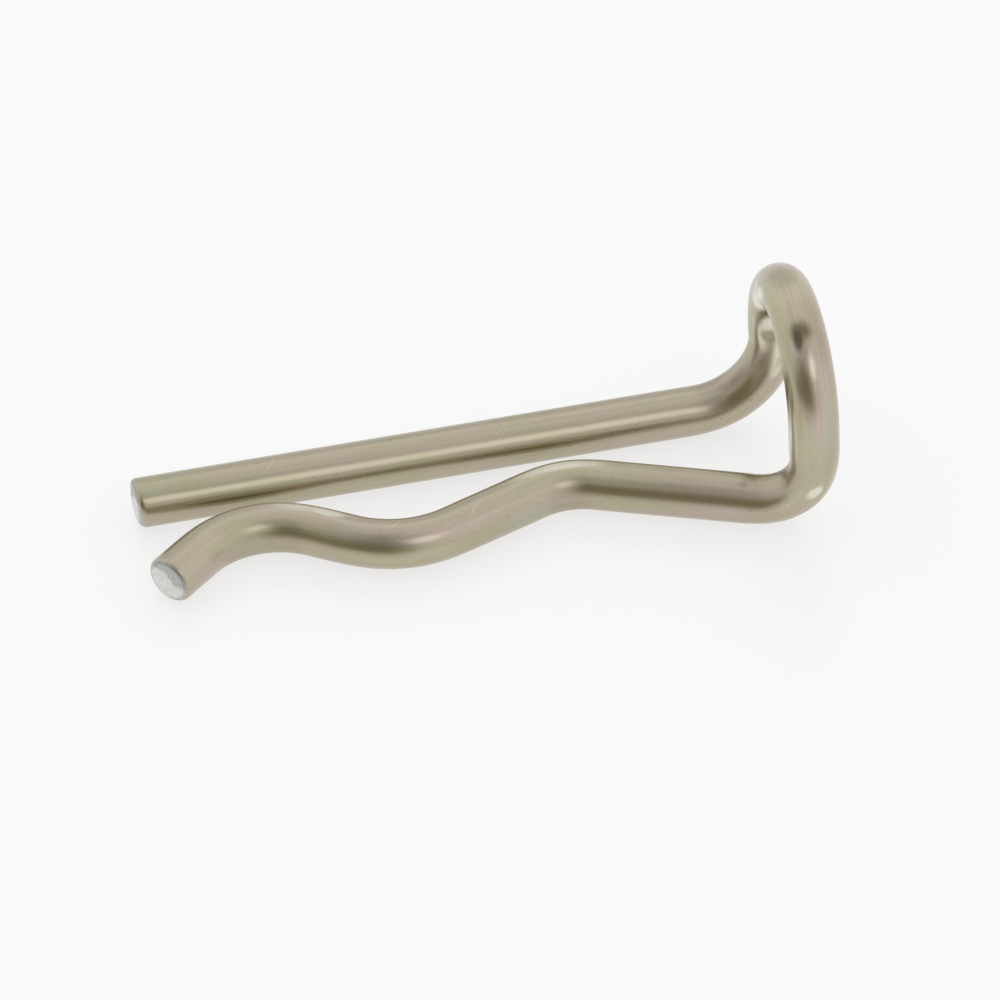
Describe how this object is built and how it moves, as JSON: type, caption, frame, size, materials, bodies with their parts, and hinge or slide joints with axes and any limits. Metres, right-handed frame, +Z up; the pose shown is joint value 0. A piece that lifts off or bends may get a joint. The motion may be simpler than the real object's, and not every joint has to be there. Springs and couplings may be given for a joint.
{
  "type": "spring cotter pin",
  "caption": "One-piece spring wire clip: a straight leg, a wavy leg with a seat for a round pin, and a loop head bent up at a right angle to the legs.",
  "frame": {"origin": "middle of the clip's bounding box, on the surface that its two legs lie on", "axes": "+X along the straight leg, from its cut end towards the loop; -Y the side on which the wavy leg lies; +Z up, the way the loop stands"},
  "size_m": [0.0204, 0.0066, 0.007],
  "materials": {
    "spring_wire": "drawn spring wire with a thin warm-grey plating, satin to bright, with fine lines along the wire and bare metal on the cut ends"
  },
  "bodies": {
    "root": {"clip": "spring_wire"}
  },
  "joints": []
}
